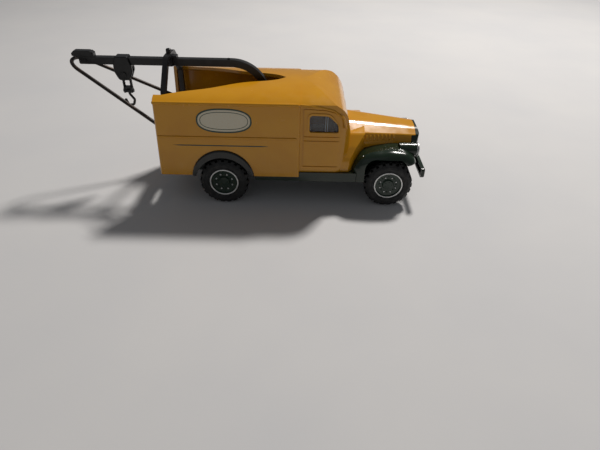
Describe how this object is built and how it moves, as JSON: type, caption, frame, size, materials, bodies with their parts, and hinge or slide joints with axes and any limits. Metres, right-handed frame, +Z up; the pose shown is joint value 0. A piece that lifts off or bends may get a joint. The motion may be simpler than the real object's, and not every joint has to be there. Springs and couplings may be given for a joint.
{
  "type": "toy tow truck",
  "caption": "Die-cast toy panel van tow truck with an open roof, a fixed crane beam, a wire stay, a sliding hoist block and a swinging hook, on rolling wheels.",
  "frame": {"origin": "middle of the bounding box, on the ground under the tyres", "axes": "+X towards the front bumper, +Y towards the left side, +Z up"},
  "size_m": [0.1294, 0.0394, 0.0523],
  "materials": {
    "body_paint": "gloss",
    "chassis_paint": "gloss",
    "black_plastic": "satin",
    "crane_black": "satin",
    "bronzed_wire": "satin",
    "glazing": "clear",
    "lamp": "clear",
    "interior": "satin",
    "rim_paint": "gloss",
    "tyre": "matte",
    "steel": "satin"
  },
  "bodies": {
    "truck": {"base_rivets": "steel", "bench_seat": "interior", "body_shell": "body_paint", "boom": "crane_black", "cab_glazing": "glazing", "chassis_fenders": "chassis_paint", "crane_bed": "crane_black", "dashboard": "interior", "front_bumper": "chassis_paint", "gantry_frame": "crane_black", "gantry_screw": "crane_black", "grille": "chassis_paint", "headlight_left": "lamp", "headlight_right": "lamp", "rear_arch_left": "chassis_paint", "rear_arch_right": "chassis_paint", "stay_wire": "bronzed_wire", "steering_wheel": "black_plastic", "underframe": "black_plastic"},
    "rear_wheelset": {"rear_axle": "steel", "rim_rear_left": "rim_paint", "tyre_rear_left": "tyre", "rim_rear_right": "rim_paint", "tyre_rear_right": "tyre"},
    "front_wheelset": {"front_axle": "steel", "rim_front_left": "rim_paint", "tyre_front_left": "tyre", "rim_front_right": "rim_paint", "tyre_front_right": "tyre"},
    "trolley": {"hoist_block": "crane_black", "block_pin": "crane_black"},
    "tackle": {"hook_tackle": "crane_black", "hook_pin": "crane_black"},
    "hook": {"tow_hook": "crane_black"}
  },
  "joints": [
    {"name": "rear_wheels_roll", "type": "hinge", "parent": "truck", "child": "rear_wheelset", "pos_m": [-0.01022, 0, 0.009], "axis": [0, 1, 0], "continuous": true},
    {"name": "front_wheels_roll", "type": "hinge", "parent": "truck", "child": "front_wheelset", "pos_m": [0.05128, 0, 0.009], "axis": [0, 1, 0], "continuous": true},
    {"name": "trolley_slide", "type": "slide", "parent": "truck", "child": "trolley", "axis": [1, 0, 0], "range_m": [-0.005, 0.01]},
    {"name": "tackle_swing", "type": "hinge", "parent": "trolley", "child": "tackle", "pos_m": [-0.04632, 0, 0.0432], "axis": [0, 1, 0], "range_deg": [-30, 30]},
    {"name": "hook_swing", "type": "hinge", "parent": "tackle", "child": "hook", "pos_m": [-0.04618, 0, 0.0368], "axis": [1, 0, 0], "range_deg": [-40, 40]}
  ]
}
